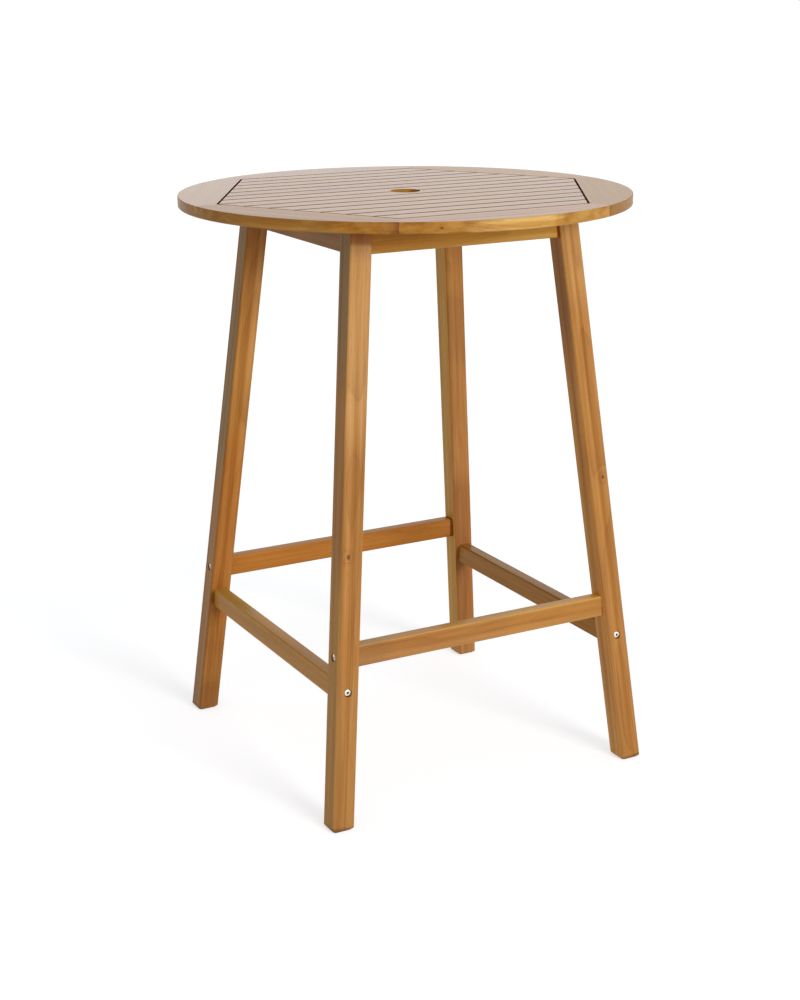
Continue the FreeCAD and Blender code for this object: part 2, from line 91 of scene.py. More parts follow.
class TableFinishes(bpy.types.PropertyGroup):
    """Colours and gloss of the table's own surfaces, and the painted light on its upward faces."""

    top_light: bpy.props.FloatVectorProperty(
        name="Top, pale wood",
        description="Palest wood of the slats and the rim",
        subtype="COLOR",
        default=(0.50, 0.215, 0.032),
    )
    top_dark: bpy.props.FloatVectorProperty(
        name="Top, late wood",
        description="Darkest lines of the slats and the rim",
        subtype="COLOR",
        default=(0.25, 0.084, 0.011),
    )
    frame_light: bpy.props.FloatVectorProperty(
        name="Frame, pale wood",
        description="Palest wood of the legs and rails",
        subtype="COLOR",
        default=(0.52, 0.232, 0.056),
    )
    frame_dark: bpy.props.FloatVectorProperty(
        name="Frame, late wood",
        description="Darkest lines of the legs and rails",
        subtype="COLOR",
        default=(0.25, 0.086, 0.015),
    )
    heart_red: bpy.props.FloatVectorProperty(
        name="Heartwood",
        description="Reddish patches in every board",
        subtype="COLOR",
        default=(0.36, 0.125, 0.033),
    )
    wood_roughness: bpy.props.FloatProperty(
        name="Wood roughness",
        description="Roughness of the wood under its oil",
        subtype="FACTOR",
        min=0,
        max=1,
        default=0.35,
    )
    wood_ior: bpy.props.FloatProperty(
        name="Wood refraction",
        description="Index of refraction of the oiled wood",
        min=1,
        max=2,
        default=1.18,
    )
    oil_roughness: bpy.props.FloatProperty(
        name="Oil roughness",
        description="Roughness of the oil film that lies on upward faces",
        subtype="FACTOR",
        min=0,
        max=1,
        default=0.12,
    )
    oil_ior: bpy.props.FloatProperty(
        name="Oil refraction",
        description="Index of refraction of that film",
        min=1,
        max=2,
        default=1.29,
    )
    oil_share: bpy.props.FloatProperty(
        name="Oil share",
        description="How much of that film is left on the wood",
        subtype="FACTOR",
        min=0,
        max=1,
        default=0.72,
    )
    # Painted light: the colour of upward faces is multiplied by this, standing in for light from
    # above.
    top_painted_light: bpy.props.FloatVectorProperty(
        name="Top lift",
        description="What the colour of an upward face is multiplied by",
        subtype="COLOR",
        default=(1.1, 1.09, 0.75),
    )
    zinc: bpy.props.FloatVectorProperty(
        name="Zinc",
        description="Plating on bolts, nuts and screws",
        subtype="COLOR",
        default=(0.80, 0.73, 0.68),
    )


class TableBolts(bpy.types.PropertyGroup):
    """Sizes of the stretcher bolts' heads."""

    head_ease: bpy.props.FloatProperty(
        name="Head edge",
        description="Width of the bevel round a bolt's head",
        subtype="DISTANCE",
        unit="LENGTH",
        default=0.0008,
    )
    socket_width: bpy.props.FloatProperty(
        name="Socket",
        description="Width of the hexagon socket across its flats",
        subtype="DISTANCE",
        unit="LENGTH",
        default=0.004,
    )
    socket_depth: bpy.props.FloatProperty(
        name="Socket depth",
        description="Depth of the hexagon socket",
        subtype="DISTANCE",
        unit="LENGTH",
        default=0.003,
    )


class TableStudio(bpy.types.PropertyGroup):
    """Camera, lamp and floor."""

    camera_azimuth: bpy.props.FloatProperty(
        name="Camera azimuth",
        description="Turn of the camera round the table, 0 looking along +Y",
        subtype="ANGLE",
        unit="ROTATION",
        default=math.radians(-28.399),
    )
    camera_elevation: bpy.props.FloatProperty(
        name="Camera elevation",
        description="Tilt of the camera's line of sight below the horizon",
        subtype="ANGLE",
        unit="ROTATION",
        default=math.radians(16.883),
    )
    camera_roll: bpy.props.FloatProperty(
        name="Camera roll",
        description="Turn of the camera about its own line of sight",
        subtype="ANGLE",
        unit="ROTATION",
        default=math.radians(-0.353),
    )
    camera_distance: bpy.props.FloatProperty(
        name="Camera distance",
        description="From the aim point to the camera",
        subtype="DISTANCE",
        unit="LENGTH",
        default=3.2686,
    )
    aim: bpy.props.FloatVectorProperty(
        name="Aim",
        description="Right, up and height of the point that the camera looks at",
        subtype="XYZ",
        unit="LENGTH",
        default=(-0.012252, -0.034778, 0.5),
    )
    lens: bpy.props.FloatProperty(
        name="Lens",
        description="Focal length in millimetres on a 36 mm frame",
        default=63.419,
    )
    ambient: bpy.props.FloatProperty(
        name="Ambient",
        description="Light from all round",
        default=0.36,
    )
    key_strength: bpy.props.FloatProperty(
        name="Key lamp",
        description="Strength of the broad lamp in front",
        default=2.05,
    )
    key_azimuth: bpy.props.FloatProperty(
        name="Key azimuth",
        description="Direction of the key lamp from the table, 0 along +X",
        subtype="ANGLE",
        unit="ROTATION",
        default=math.radians(-80),
    )
    key_elevation: bpy.props.FloatProperty(
        name="Key elevation",
        description="Height of the key lamp above the horizon",
        subtype="ANGLE",
        unit="ROTATION",
        default=math.radians(14),
    )
    key_breadth: bpy.props.FloatProperty(
        name="Key breadth",
        description="Angle that the key lamp takes up, which softens the shadows",
        subtype="ANGLE",
        unit="ROTATION",
        default=math.radians(24),
    )
    floor_glow: bpy.props.FloatProperty(
        name="Floor glow",
        description="Light that the floor adds to its own shading where it is seen or mirrored",
        default=0.585,
    )


# Shader expressions


class Shade:
    """A shader value; an expression on it adds its Math nodes."""

    def __init__(self, finish, socket):
        self.finish = finish
        self.socket = socket

    def __add__(self, other):
        return self.finish.math("ADD", self, other)

    def __radd__(self, other):
        return self.finish.math("ADD", other, self)

    def __sub__(self, other):
        return self.finish.math("SUBTRACT", self, other)

    def __rsub__(self, other):
        return self.finish.math("SUBTRACT", other, self)

    def __mul__(self, other):
        return self.finish.math("MULTIPLY", self, other)

    def __rmul__(self, other):
        return self.finish.math("MULTIPLY", other, self)

    def __truediv__(self, other):
        return self.finish.math("DIVIDE", self, other)

    def __rtruediv__(self, other):
        return self.finish.math("DIVIDE", other, self)


class Finish:
    """A material whose nodes are added one by one."""

    def __init__(self, name):
        self.material = bpy.data.materials.new(name)
        self.material.use_nodes = True
        self.tree = self.material.node_tree
        self.tree.nodes.clear()

    def node(self, kind, settings=None, inputs=None, output=0):
        """Add a node: its settings are set first, then its sockets get values or links."""
        made = self.tree.nodes.new(kind)
        for name, value in (settings or {}).items():
            if name == "stops":
                while len(made.color_ramp.elements) < len(value):
                    made.color_ramp.elements.new(1.0)
                for stop, (place, shade) in zip(made.color_ramp.elements, value):
                    stop.position = place
                    stop.color = (shade, shade, shade, 1.0)
            else:
                setattr(made, name, value)
        for name, value in (inputs or {}).items():
            if isinstance(value, Shade):
                self.tree.links.new(value.socket, made.inputs[name])
            else:
                made.inputs[name].default_value = value
        return Shade(self, made.outputs[output]) if len(made.outputs) else None

    def math(self, operation, first, second):
        """One Math node on two values."""
        return self.node("ShaderNodeMath", {"operation": operation}, {0: first, 1: second})

    def smooth(self, low, high, value):
        """0 below low, 1 above high, and smooth in between."""
        settings = {"interpolation_type": "SMOOTHSTEP"}
        return self.node("ShaderNodeMapRange", settings, {"Value": value, 1: low, 2: high})

    def vector(self, operation, first, second, output=0):
        """One Vector Math node on two vectors."""
        inputs = {0: first, 1: second}
        return self.node("ShaderNodeVectorMath", {"operation": operation}, inputs, output)

    def scaled(self, vector, sizes):
        """A vector multiplied by three numbers."""
        return self.vector("MULTIPLY", vector, sizes)

    def length(self, vector):
        """Length of a vector."""
        return self.node("ShaderNodeVectorMath", {"operation": "LENGTH"}, {0: vector}, "Value")

    def along(self, normal, direction):
        """How much a normal points along a direction, from -1 to 1."""
        return self.vector("DOT_PRODUCT", normal, direction, "Value")

    def slant(self, normal, direction):
        """How much a normal points along a direction, either way."""
        along = self.along(normal, direction)
        return self.node("ShaderNodeMath", {"operation": "ABSOLUTE"}, {0: along})

    def noise(self, vector, detail=3.0, roughness=0.55):
        """Smooth noise from 0 to 1 over a vector."""
        inputs = {"Vector": vector, "Scale": 1.0, "Detail": detail, "Roughness": roughness}
        return self.node("ShaderNodeTexNoise", inputs=inputs)

    def mixed(self, factor, first, second, blend="MIX"):
        """Two colours mixed by a factor."""
        settings = {"data_type": "RGBA", "blend_type": blend, "clamp_factor": True}
        return self.node("ShaderNodeMix", settings, {0: factor, 6: first, 7: second}, output=2)

    def gained(self, factor, colour, gains):
        """A colour multiplied by three gains, as far as the factor says."""
        return self.mixed(factor, colour, rgb(gains), blend="MULTIPLY")

    def surface(self, **inputs):
        """Principled surface with these sockets, joined to the output."""
        named = {name.replace("_", " "): value for name, value in inputs.items()}
        shader = self.node("ShaderNodeBsdfPrincipled", inputs=named)
        self.node("ShaderNodeOutputMaterial", inputs={"Surface": shader})
        return self.material


def rgb(colour, level=1.0):
    """Colour at a level of its brightness, with its alpha."""
    return (level * colour[0], level * colour[1], level * colour[2], 1.0)


# Wood

PLAIN = (1.0, 1.0, 1.0)

# Waves per metre of each noise in the wood: along the grain, then twice across it.
WANDER_WAVES = (2.2, 9.0, 9.0)
RIPPLE_WAVES = (9.0, 70.0, 70.0)
STREAK_WAVES = (1.6, 62.0, 62.0)
FIBRE_WAVES = (11.0, 520.0, 520.0)
PATCH_WAVES = (3.0, 11.0, 11.0)
PORE_WAVES = (70.0, 1500.0, 1500.0)
STRIPE_WAVES = (0.8, 110.0, 110.0)

# Rings, in metres: where the pith lies below the face, how far noise bends a ring, and its width.
PITH_SIDE = 0.025
PITH_DEPTHS = (0.03, 0.07)
WANDER_BEND = 0.030
RIPPLE_BEND = 0.0022
RING_WIDTHS = (0.0042, 0.0062)

# How dark a ring is at each part of its width.
RING_STOPS = [(0.0, 0.05), (0.35, 0.10), (0.78, 0.65), (0.93, 1.0), (1.0, 0.05)]

# Noise values at which a mark starts and is whole.
RING_PATCH_EDGES = (0.35, 0.7)
RED_PATCH_EDGES = (0.5, 0.75)
STREAK_EDGES = (0.42, 0.68)
DARK_STRIPE_EDGES = (0.50, 0.66)
PALE_STRIPE_EDGES = (0.34, 0.50)
PORE_EDGES = (0.63, 0.74)

# Shares of late wood in the colour, about their mean. Rings are strongest in their patches.
LATE_MEAN = 0.26
RING_SHARE = 0.55
RING_LEAST = 0.25
RING_EXTRA = 0.5
STREAK_SHARE = 0.42
FIBRE_SHARE = 0.45

# Shares of other colours, and how bright these are against the late wood.
RED_SHARE = 0.35
PORE_SHARE = 0.35
PORE_LEVEL = 0.45
KNOT_SHARE = 0.75
KNOT_LEVEL = 0.35
END_SHARES = {"top": 0.25, "frame": 0.55}
END_LEVEL = 0.8

DARK_STRIPE = (0.90, 0.82, 0.68)
PALE_STRIPE = (1.08, 1.14, 1.30)
BORE_GAINS = (0.82, 1.08, 1.3)

# Knots, in knot sizes: how far one draws the rings aside, and where its halo and its core end.
KNOT_BEND = 1.1
KNOT_SQUEEZE = 0.7
KNOT_RAGGED = 0.8
KNOT_HALO = (0.3, 3.5)
KNOT_CORE = (0.25, 1.0)

# Slants of a face from which it starts and is wholly end grain, a side, oiled on top, or upward,
# where the frame gets painted light.
END_SLANT = (0.6, 0.85)
SIDE_SLANT = (0.72, 0.97)
FILM_SLANT = (0.92, 0.99)
PAINTED_LIGHT_SLANT = (0.25, 0.85)

# Gap shade: how softly it starts at its slant, past the umbrella hole and at its reach.
GAP_SLANT_FADE = 0.2
BORE_MARGIN = 0.0002
BORE_FADE = 0.001
REACH_FADE = 0.004

RING_RELIEF = 0.3
FIBRE_RELIEF = 0.4
PORE_RELIEF = 0.8
BUMP_STRENGTH = 0.25
BUMP_HEIGHT = 0.0002
END_ROUGHNESS = 0.2
FIBRE_ROUGHNESS = 0.12

SLAT_TONE_SEED = 14

# Seed of the first piece of each kind; the next pieces count on from it.
FIRST_SEEDS = {
    "slat": 100,
    "rim": 200,
    "leg": 300,
    "apron": 400,
    "stretcher": 500,
    "batten": 600,
    "block": 620,
    "dowel": 640,
}


def board_frame(name, grain, face):
    """Middle of a piece, and a turn that takes its grain to X and its face normal to Z."""
    low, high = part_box(name)
    middle = (Vector(low) + Vector(high)) / 2
    along = Vector(grain).normalized()
    across = Vector(face).cross(along).normalized()
    up = along.cross(across)
    return middle, Matrix((along, across, up))


def knot_place(name, grain, face, spot):
    """Knot of a piece, its place turned to lie along the grain, from x, y, z and a size."""
    middle, turn = board_frame(name, grain, face)
    return tuple(turn @ (Vector(spot[:3]) - middle)), spot[3]


def knot_masks(finish, placed, ripple, place, size):
    """How much of a knot's halo and of its core covers a point."""
    spot = finish.vector("SUBTRACT", placed, place)
    away = finish.length(finish.scaled(spot, (KNOT_SQUEEZE / size, 1.0 / size, 1.0 / size)))
    away = away + (ripple - 0.5) * KNOT_RAGGED
    return 1.0 - finish.smooth(*KNOT_HALO, away), 1.0 - finish.smooth(*KNOT_CORE, away)


def banded(finish, colour, placed, bands, masks):
    """A colour multiplied by the gains of each band."""
    along_grain = finish.node("ShaderNodeSeparateXYZ", inputs={"Vector": placed})
    for start, end, fade, gains, faces in bands:
        inside = finish.smooth(start - fade, start + fade, along_grain)
        inside = inside * (1.0 - finish.smooth(end - fade, end + fade, along_grain))
        colour = finish.gained(inside * masks[faces], colour, gains)
    return colour


def gap_shaded(finish, colour, where, steep, shade, reach, slant):
    """A colour darkened on steep faces between the umbrella hole and a reach from the middle."""
    steep = finish.smooth(slant - GAP_SLANT_FADE, slant + GAP_SLANT_FADE, steep)
    from_axis = finish.length(finish.scaled(where, (1.0, 1.0, 0.0)))
    outside = finish.smooth(HOLE_RADIUS + BORE_MARGIN, HOLE_RADIUS + BORE_FADE, from_axis)
    inside = 1.0 - finish.smooth(reach, reach + REACH_FADE, from_axis)
    colour = finish.gained((1.0 - outside) * steep, colour, BORE_GAINS)
    return finish.mixed(steep * outside * inside * shade, colour, (0, 0, 0, 1))


def wood(name, grain, face, kind, seed, tone=PLAIN, side=PLAIN, painted_light=None, oil=1.0, red=0.0,
         figure=1.0, knots=(), bands=(), gap_shade=0.0, gap_reach=1.0, gap_slant=0.35):
    """Oiled hardwood with the grain along a piece.

    Rings are distances from a pith line below the face, bent by slow noise along the board, so
    they show as long flames on the face and as arcs on the ends. The kind is top or frame, and the
    figure is the strength of its lines. Gains multiply a colour: tone on all faces, side on the one
    that looks along face x grain as painted light and shade, and the upward gains on upward faces
    as painted light from above. A knot is a place from the piece's middle, and a size.

    A band is (start, end, fade, gains, faces): gains from start to end along the grain. Its faces
    are all of them, the side, face for all but the side, top for the upward ones, or edge for all
    but the upward ones. Bands hold both the wood's own tone and painted light and shade: painted
    shadows at joints, under the top and at the feet, and a painted highlight along the rim's
    edge. Oil is the piece's share of the film on upward faces. A gap shade darkens the long sides
    between the umbrella hole and the gap reach, where they are steeper than the gap slant.
    """
    settings = bpy.context.scene.bar_table_finishes
    light, dark = getattr(settings, kind + "_light"), getattr(settings, kind + "_dark")
    chance = np.random.default_rng(seed)
    finish = Finish(name + "_wood")
    middle, turn = board_frame(name, grain, face)
    where = finish.node("ShaderNodeTexCoord", output="Object")
    placed = finish.node(
        "ShaderNodeMapping",
        inputs={"Vector": where, "Location": -(turn @ middle), "Rotation": turn.to_euler()},
    )
    shift = chance.uniform(-5, 5, 3)
    grained = finish.vector("ADD", placed, tuple(shift))

    pith = (0.0, chance.uniform(-PITH_SIDE, PITH_SIDE), -chance.uniform(*PITH_DEPTHS))
    radius = finish.length(finish.scaled(finish.vector("SUBTRACT", placed, pith), (0.0, 1.0, 1.0)))
    wander = finish.noise(finish.scaled(grained, WANDER_WAVES), detail=2.0)
    ripple = finish.noise(finish.scaled(grained, RIPPLE_WAVES), detail=2.0)
    bend = wander * WANDER_BEND + ripple * RIPPLE_BEND
    knot_cores = []
    for place, size in knots:
        halo, core = knot_masks(finish, placed, ripple, place, size)
        bend = bend + halo * (KNOT_BEND * size)
        knot_cores.append(core)
    ring = (radius + bend) / chance.uniform(*RING_WIDTHS)
    phase = finish.node("ShaderNodeMath", {"operation": "FRACT"}, {0: ring})
    late = finish.node("ShaderNodeValToRGB", {"stops": RING_STOPS}, {"Fac": phase})

    streak = finish.noise(finish.scaled(grained, STREAK_WAVES), detail=4.0, roughness=0.6)
    fibre = finish.noise(finish.scaled(grained, FIBRE_WAVES), detail=3.0, roughness=0.6)
    patch = finish.noise(finish.scaled(grained, PATCH_WAVES), detail=2.0)
    stripe = finish.noise(finish.scaled(grained, STRIPE_WAVES), detail=1.0)
    pore = finish.noise(finish.scaled(grained, PORE_WAVES), detail=1.0)
    pore = finish.smooth(*PORE_EDGES, pore)

    rings = late * (RING_LEAST + RING_EXTRA * finish.smooth(*RING_PATCH_EDGES, patch))
    streaks = finish.smooth(*STREAK_EDGES, streak)
    lines = rings * RING_SHARE + streaks * STREAK_SHARE - LATE_MEAN
    dark_share = lines * figure + (fibre - 0.5) * FIBRE_SHARE + LATE_MEAN
    colour = finish.mixed(dark_share, rgb(light), rgb(dark))
    red_share = finish.smooth(*RED_PATCH_EDGES, patch) * RED_SHARE + red
    colour = finish.mixed(red_share, colour, rgb(settings.heart_red))
    colour = finish.mixed(pore * PORE_SHARE, colour, rgb(dark, PORE_LEVEL))
    dark_stripes = finish.smooth(*DARK_STRIPE_EDGES, stripe)
    colour = finish.gained(dark_stripes * figure, colour, DARK_STRIPE)
    pale_stripes = 1.0 - finish.smooth(*PALE_STRIPE_EDGES, stripe)
    colour = finish.gained(pale_stripes * figure, colour, PALE_STRIPE)
    for core in knot_cores:
        colour = finish.mixed(core * KNOT_SHARE, colour, rgb(dark, KNOT_LEVEL))

    normal = finish.node("ShaderNodeTexCoord", output="Normal")
    end_slant = finish.slant(normal, turn[0])
    end_grain = finish.smooth(*END_SLANT, end_slant)
    sideways = finish.smooth(*SIDE_SLANT, finish.along(normal, turn[1]))
    upward = finish.along(normal, UP)
    film = finish.smooth(*FILM_SLANT, upward)
    colour = finish.mixed(end_grain * END_SHARES[kind], colour, rgb(dark, END_LEVEL))
    colour = finish.gained(1.0, colour, tone)
    # Painted light and shade on the side face.
    colour = finish.gained(sideways, colour, side)
    masks = {"all": 1.0, "side": sideways, "face": 1.0 - sideways, "edge": 1.0 - film, "top": film}
    # Bands: partly the wood's own tone, partly painted light and shade.
    colour = banded(finish, colour, placed, bands, masks)
    if gap_shade:
        steep = finish.slant(normal, turn[1]) - end_slant
        colour = gap_shaded(finish, colour, where, steep, gap_shade, gap_reach, gap_slant)
    # Painted light on upward faces: the top's flat upward faces, and the frame's upward faces with
    # their rounded edges.
    painted_light_mask = film if kind == "top" else finish.smooth(*PAINTED_LIGHT_SLANT, upward)
    colour = finish.gained(painted_light_mask, colour, painted_light or settings.top_painted_light)

    relief = late * RING_RELIEF + fibre * FIBRE_RELIEF - pore * PORE_RELIEF
    bump = finish.node(
        "ShaderNodeBump",
        inputs={"Height": relief, "Strength": BUMP_STRENGTH, "Distance": BUMP_HEIGHT},
    )
    roughness = settings.wood_roughness + end_grain * END_ROUGHNESS
    return finish.surface(
        Base_Color=colour,
        Roughness=roughness + (fibre - 0.5) * FIBRE_ROUGHNESS,
        Normal=bump,
        IOR=settings.wood_ior,
        Coat_Weight=film * (settings.oil_share * oil),
        Coat_IOR=settings.oil_ior,
        Coat_Roughness=settings.oil_roughness,
    )


def paint(name, material):
    """Give a CAD node one material."""
    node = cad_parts[name]
    node.data.materials.clear()
    node.data.materials.append(material)


class BARTABLE_OT_slats(bpy.types.Operator):
    """Finish the fourteen slats, each cut from its own board"""

    bl_idname = "bartable.slats"
    bl_label = "Slats"

    def execute(self, context):
        chance = np.random.default_rng(SLAT_TONE_SEED)
        tones = (0.93, 1.07)
        # The front slats get more painted light on their upward faces.
        front_edge = -0.15
        front_painted_light = (1.2, 1.2, 0.9)
        for index, name in enumerate(SLATS):
            tone = [chance.uniform(*tones)] * 3
            look = dict(tone=tone, gap_shade=0.65)
            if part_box(name)[1][1] < front_edge:
                look["painted_light"] = front_painted_light
            paint(name, wood(name, ALONG_X, UP, "top", FIRST_SEEDS["slat"] + index, **look))
        return {"FINISHED"}


class BARTABLE_OT_rim(bpy.types.Operator):
    """Finish the six rim segments, with the grain along each"""

    bl_idname = "bartable.rim"
    bl_label = "Rim"

    def execute(self, context):
        front_tone = (0.92, 0.95, 1.05)
        # Each segment's upward gains are painted light from above. The edge bands of segments 4 and
        # 5 are partly the rim's own colour and partly a painted highlight where the lamp falls
        # along the front edge.
        looks = {
            "rim_segment_1": dict(painted_light=(1.25, 1.3, 0.75), oil=0.7, figure=0.3, gap_shade=0.0),
            "rim_segment_3": dict(figure=0.5, gap_slant=0.8),
            "rim_segment_4": dict(
                tone=front_tone, painted_light=(1.13, 1.04, 0.4), oil=0.66, red=0.06, gap_shade=0.0,
                bands=[
                    (-0.3, -0.197, 0.001, (1.4, 1.6, 1.8), "edge"),
                    (-0.197, 0.02, 0.02, (1.07, 1.14, 1.4), "edge"),
                    (0.02, 0.09, 0.02, (1.03, 1.16, 1.4), "edge"),
                    (0.165, 0.187, 0.006, (0.90, 0.88, 1.0), "edge"),
                    (0.187, 0.3, 0.009, (0.66, 0.50, 0.8), "edge"),
                ],
            ),
            "rim_segment_5": dict(tone=front_tone, painted_light=(1.29, 1.15, 0.6), oil=0.84, bands=[
                (0.1, 0.3, 0.06, (1.06, 0.98, 0.6), "top"),
                (-0.155, -0.085, 0.02, (1.1, 1.15, 1.3), "edge"),
                (-0.09, 0.067, 0.015, (1.65, 2.1, 3.4), "edge"),
                (0.067, 0.3, 0.005, (1.2, 1.38, 1.7), "edge"),
                (0.194, 0.3, 0.001, (0.55, 0.5, 0.5), "edge"),
            ]),
            "rim_segment_6": dict(
                tone=(0.80, 0.84, 0.95), painted_light=(1.5, 1.6, 1.0), oil=0.58, figure=0.3, red=0.05,
                gap_slant=0.8,
            ),
        }
        knots = {
            "rim_segment_3": (-0.273, 0.246, 1.035, 0.0028),
            "rim_segment_5": (-0.1397, -0.3748, 1.025, 0.0028),
        }
        for index, name in enumerate(RIM_SEGMENTS):
            middle_angle = math.radians(360 * (index + 0.5) / len(RIM_SEGMENTS))
            grain = (-math.sin(middle_angle), math.cos(middle_angle), 0)
            look = dict({"gap_shade": 0.85, "gap_reach": FIELD_REACH}, **looks.get(name, {}))
            if name in knots:
                look["knots"] = [knot_place(name, grain, UP, knots[name])]
            paint(name, wood(name, grain, UP, "top", FIRST_SEEDS["rim"] + index, **look))
        return {"FINISHED"}


class BARTABLE_OT_legs(bpy.types.Operator):
    """Finish the four splayed legs"""

    bl_idname = "bartable.legs"
    bl_label = "Legs"

    def execute(self, context):
        # Painted shade at the foot: the last few millimetres of each leg are darker.
        foot_painted_shade = (-0.6, -0.508, 0.003, (0.55, 0.55, 0.5), "all")
        level_slack = 0.001
        knots = {
            "leg_front_left": (-0.260, -0.2728, 0.475, 0.005),
            "leg_front_right": (0.254, -0.2664, 0.539, 0.005),
        }
        # Per leg: a tone; side gains, which are painted light and shade on the left face; and bands
        # up the leg, partly the wood's own tone and partly painted light and shade.
        looks = {
            "leg_front_left": dict(tone=(1.0, 1.03, 1.15), side=(1.05, 1.03, 0.85), bands=[
                (0.16, 0.6, 0.06, (1.2, 1.36, 1.65), "face"),
                # Painted shadow of the top across the upper end of this leg's front face.
                (0.478, 0.6, 0.004, (0.7, 0.5, 0.4), "face"),
                (-0.6, 0.16, 0.05, (0.92, 0.90, 0.86), "face"),
                (-0.6, -0.26, 0.05, (0.97, 1.02, 1.1), "face"),
                (0.28, 0.6, 0.08, (0.71, 0.90, 1.38), "side"),
                (-0.6, -0.05, 0.08, (1.22, 1.38, 1.42), "side"),
            ]),
            "leg_front_right": dict(tone=(0.98, 0.98, 1.0), side=(1.52, 1.62, 1.65), bands=[
                (0.36, 0.6, 0.05, (1.12, 1.25, 1.45), "face"),
                (-0.6, -0.1, 0.05, (0.95, 0.95, 0.98), "face"),
                (0.25, 0.6, 0.09, (0.64, 0.62, 0.67), "side"),
                # Painted shade at the top of the left face, behind the apron's end.
                (0.462, 0.6, 0.003, (0.75, 0.4, 0.1), "side"),
                (-0.6, -0.18, 0.05, (1.15, 1.18, 1.15), "side"),
            ]),
            "leg_back_left": dict(side=(1.0, 1.05, 1.1), bands=[
                (0.15, 0.36, 0.05, (1.12, 1.18, 1.25), "face"),
                (0.36, 0.6, 0.05, (1.08, 1.08, 1.2), "face"),
                (-0.35, 0.06, 0.05, (0.97, 0.86, 0.72), "face"),
                (-0.6, -0.35, 0.03, (0.80, 0.73, 0.66), "face"),
                (-0.6, -0.45, 0.02, (0.75, 0.75, 0.82), "face"),
                # Painted shadow where the left stretcher meets this leg.
                (-0.281, -0.254, 0.008, (0.65, 0.6, 0.45), "face"),
                (0.0, 0.6, 0.05, (0.76, 0.92, 1.15), "side"),
            ]),
            "leg_back_right": dict(side=(1.58, 1.95, 1.7), bands=[
                (0.16, 0.30, 0.03, (0.80, 0.78, 0.92), "face"),
                (-0.10, 0.16, 0.03, (0.92, 0.90, 1.05), "face"),
                (-0.445, -0.10, 0.03, (0.76, 0.68, 0.80), "face"),
                (-0.6, -0.445, 0.02, (0.9, 0.92, 1.1), "face"),
                (-0.6, -0.2, 0.05, (1.1, 1.1, 1.0), "side"),
            ]),
        }
        for index, name in enumerate(LEGS):
            points = node_points(name)
            top = points[points[:, 2] > points[:, 2].max() - level_slack].mean(axis=0)
            foot = points[points[:, 2] < level_slack].mean(axis=0)
            lean = Vector(top - foot)
            look = dict(looks[name], painted_light=PLAIN)
            look["bands"] = look["bands"] + [foot_painted_shade]
            if name in knots:
                look["knots"] = [knot_place(name, lean, FRONT, knots[name])]
            paint(name, wood(name, lean, FRONT, "frame", FIRST_SEEDS["leg"] + index, **look))
        return {"FINISHED"}


class BARTABLE_OT_rails(bpy.types.Operator):
    """Finish the four aprons and the four stretchers"""

    bl_idname = "bartable.rails"
    bl_label = "Aprons and stretchers"

    def execute(self, context):
        # Tones, upward gains and bands here are partly each rail's own colour and partly painted
        # light and shade; the upward gains are painted light on the rails' top faces.
        looks = {
            "apron_front": dict(tone=(1.22, 1.36, 0.97), figure=0.8, bands=[
                (-0.3, -0.03, 0.05, (0.94, 0.90, 0.86), "all"),
                (0.06, 0.3, 0.04, (1.05, 1.14, 1.3), "all"),
            ]),
            "apron_left": dict(tone=(0.93, 0.93, 0.75), figure=0.7, bands=[
                (-0.3, -0.03, 0.05, (0.85, 0.92, 1.15), "all"),
                (0.03, 0.3, 0.04, (0.80, 0.66, 0.66), "all"),
            ]),
            "apron_back": dict(tone=(1.1, 1.1, 0.8)),
            "apron_right": dict(tone=(1.1, 1.1, 0.8)),
            "stretcher_front": dict(
                tone=(1.0, 1.04, 1.25), painted_light=(1.65, 1.95, 1.6), figure=0.7,
                bands=[
                    (-0.3, -0.19, 0.03, (0.83, 0.86, 0.95), "all"),
                    (0.05, 0.3, 0.03, (1.07, 1.10, 1.0), "all"),
                ],
            ),
            "stretcher_back": dict(
                tone=(0.90, 0.75, 0.48), painted_light=(1.3, 1.4, 0.5), oil=0.5, figure=0.8,
                # Painted shade at the right end, where the stretcher meets the back right leg.
                bands=[(0.2425, 0.3, 0.001, (0.35, 0.25, 0.25), "all")],
            ),
            "stretcher_left": dict(
                tone=(1.40, 1.51, 1.15), painted_light=(1.1, 1.08, 0.66), figure=0.45,
                bands=[(0.08, 0.3, 0.05, (0.84, 1.05, 1.7), "top")],
            ),
            "stretcher_right": dict(
                tone=(1.13, 1.24, 1.15), painted_light=(0.8, 0.76, 0.4), oil=0.5, figure=0.6,
            ),
        }
        for kind in ("apron", "stretcher"):
            for index, side in enumerate(SIDES):
                grain, face = (ALONG_X, FRONT) if side in ("front", "back") else (ALONG_Y, LEFT)
                name = f"{kind}_{side}"
                look = dict({"painted_light": PLAIN, "oil": 0.6}, **looks[name])
                paint(name, wood(name, grain, face, "frame", FIRST_SEEDS[kind] + index, **look))
        return {"FINISHED"}


class BARTABLE_OT_inner_wood(bpy.types.Operator):
    """Finish the battens, the plate under the umbrella hole, the corner blocks and the dowels"""

    bl_idname = "bartable.inner_wood"
    bl_label = "Inner wood"

    def execute(self, context):
        for index, name in enumerate(("batten_left", "batten_right", "umbrella_plate")):
            paint(name, wood(name, ALONG_Y, DOWN, "frame", FIRST_SEEDS["batten"] + index))
        for index, name in enumerate(BLOCKS):
            low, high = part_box(name)
            grain = (1, -1, 0) if (low[0] + high[0]) * (low[1] + high[1]) > 0 else (1, 1, 0)
            paint(name, wood(name, grain, UP, "frame", FIRST_SEEDS["block"] + index))
        pale = (1.1, 1.1, 1.1)
        for index, name in enumerate(("rim_splines", "stretcher_dowels", "apron_dowels")):
            paint(name, wood(name, ALONG_X, UP, "frame", FIRST_SEEDS["dowel"] + index, pale))
        return {"FINISHED"}


# Metal

